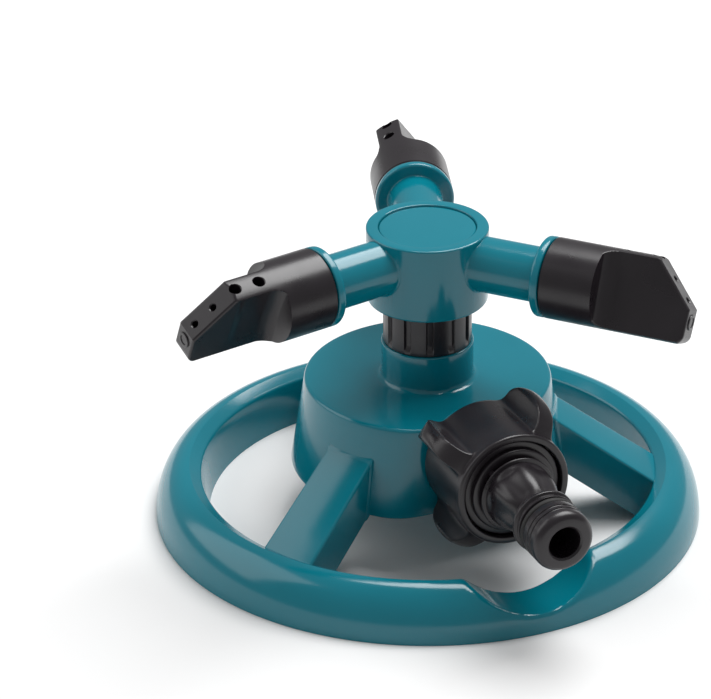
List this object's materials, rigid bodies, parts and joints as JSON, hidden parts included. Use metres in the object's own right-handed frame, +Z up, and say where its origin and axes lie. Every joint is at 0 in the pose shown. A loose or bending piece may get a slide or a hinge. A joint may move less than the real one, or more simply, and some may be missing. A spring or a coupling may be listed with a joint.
{
  "type": "rotary sprinkler",
  "caption": "Rotary garden sprinkler: leaning jet nozzles on horizontal arms turn on a spindle above an open ring base with a threaded hose inlet.",
  "frame": {"origin": "centre of the ring base, on the ground", "axes": "+Z up along the spindle; the hose inlet points along -Y"},
  "size_m": [0.1505, 0.1608, 0.0878],
  "materials": {
    "teal": "glossy moulded",
    "black": "satin moulded",
    "rubber": "matte",
    "nylon": "smooth",
    "steel": "plain stainless"
  },
  "bodies": {
    "base": {"base_frame": "teal", "spindle": "black", "neck_seal": "rubber", "thrust_washer": "nylon", "hub_seal_lower": "rubber", "hub_seal_upper": "rubber", "retaining_washer": "steel", "retaining_screw": "steel"},
    "rotor": {"rotor_hub": "teal", "hub_cap": "teal", "nozzle_seal_right": "rubber", "nozzle_seal_rear": "rubber", "nozzle_seal_left": "rubber"},
    "right_nozzle": {"nozzle_right": "black"},
    "rear_nozzle": {"nozzle_rear": "black"},
    "left_nozzle": {"nozzle_left": "black"},
    "nipple": {"hose_nipple": "black", "nipple_seal": "rubber", "inlet_washer": "rubber", "inlet_filter": "steel"},
    "nut": {"coupling_nut": "black"}
  },
  "joints": [
    {"name": "rotor_spin", "type": "hinge", "parent": "base", "child": "rotor", "pos_m": [0, 0, 0.07695], "axis": [0, 0, 1], "continuous": true},
    {"name": "right_nozzle_twist", "type": "hinge", "parent": "rotor", "child": "right_nozzle", "pos_m": [0.02921, -0.0329, 0.07695], "axis": [0.6639, -0.7478, 0], "continuous": true},
    {"name": "rear_nozzle_twist", "type": "hinge", "parent": "rotor", "child": "rear_nozzle", "pos_m": [0.01389, 0.04175, 0.07695], "axis": [0.3156, 0.9489, 0], "continuous": true},
    {"name": "left_nozzle_twist", "type": "hinge", "parent": "rotor", "child": "left_nozzle", "pos_m": [-0.0431, -0.00885, 0.07695], "axis": [-0.9796, -0.2011, 0], "continuous": true},
    {"name": "nipple_slide", "type": "slide", "parent": "base", "child": "nipple", "axis": [0, -1, 0], "range_m": [0, 0.0091]},
    {"name": "nut_turn", "type": "hinge", "parent": "nipple", "child": "nut", "pos_m": [0, -0.044, 0.0325], "axis": [0, -1, 0], "range_deg": [0, 1800]}
  ],
  "couplings": [
    {"joint": "nipple_slide", "follows": "nut_turn", "m_per_rad": 0.00028871}
  ]
}
